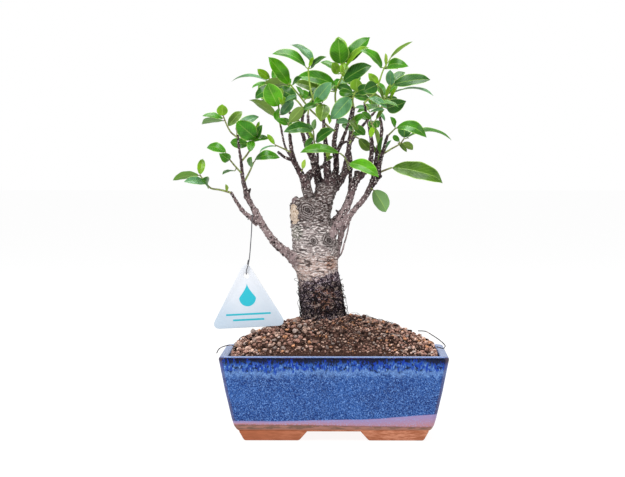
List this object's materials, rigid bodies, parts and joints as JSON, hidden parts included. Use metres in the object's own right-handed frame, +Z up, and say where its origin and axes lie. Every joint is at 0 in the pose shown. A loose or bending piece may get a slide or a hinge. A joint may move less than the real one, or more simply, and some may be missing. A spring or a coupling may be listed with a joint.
{
  "type": "bonsai tree in a pot",
  "caption": "Small broad-leaved bonsai tree with a thick pale trunk, in a rectangular blue glazed pot on corner feet, with mounded soil and a hanging tag.",
  "frame": {"origin": "under the middle of the whole plant's box, on the surface that the pot's feet stand on", "axes": "+Z up, the height of the tree; -Y is the front of the pot, +X the right end of the pot seen from the front"},
  "size_m": [0.251, 0.1588, 0.3639],
  "materials": {
    "glaze": "speckled blue crackle glaze with a darker band under the rim, lilac at the foot, bare terracotta feet",
    "soil": "coarse brown grains with tan and near-black ones",
    "bark": "grey-tan wrinkled bark, dark and rooty at its foot, purple-brown limbs with pale dots",
    "leaf": "leathery leaves from dark to yellow green, glossy above and pale beneath",
    "tag_plastic": "thin translucent lavender-white sheet with a plain turquoise print",
    "steel": "plain grey wire",
    "netting": "black plastic netting"
  },
  "bodies": {
    "root": {"drain_mesh_left": "netting", "drain_mesh_right": "netting", "pot": "glaze", "shoot_back_crown": "leaf", "shoot_back_fork_side": "leaf", "shoot_back_left_far": "leaf", "shoot_back_left_tip": "leaf", "shoot_back_right_far": "leaf", "shoot_back_right_tip": "leaf", "shoot_centre_fork_tip": "leaf", "shoot_fork_side": "leaf", "shoot_front_left_tip": "leaf", "shoot_hanging": "leaf", "shoot_inner_left": "leaf", "shoot_inner_low_left": "leaf", "shoot_left_crown": "leaf", "shoot_left_inner": "leaf", "shoot_left_low_tip": "leaf", "shoot_left_mid": "leaf", "shoot_left_top": "leaf", "shoot_middle_right": "leaf", "shoot_middle_twig": "leaf", "shoot_right_low": "leaf", "shoot_right_out": "leaf", "shoot_right_side": "leaf", "shoot_right_top": "leaf", "shoot_right_upper": "leaf", "shoot_spur_centre": "leaf", "shoot_spur_low": "leaf", "shoot_spur_outer": "leaf", "shoot_spur_right": "leaf", "shoot_tall_centre": "leaf", "shoot_tall_left": "leaf", "shoot_tall_left_back": "leaf", "shoot_top": "leaf", "soil": "soil", "tag": "tag_plastic", "tag_wire": "steel", "trunk": "bark"}
  },
  "joints": []
}
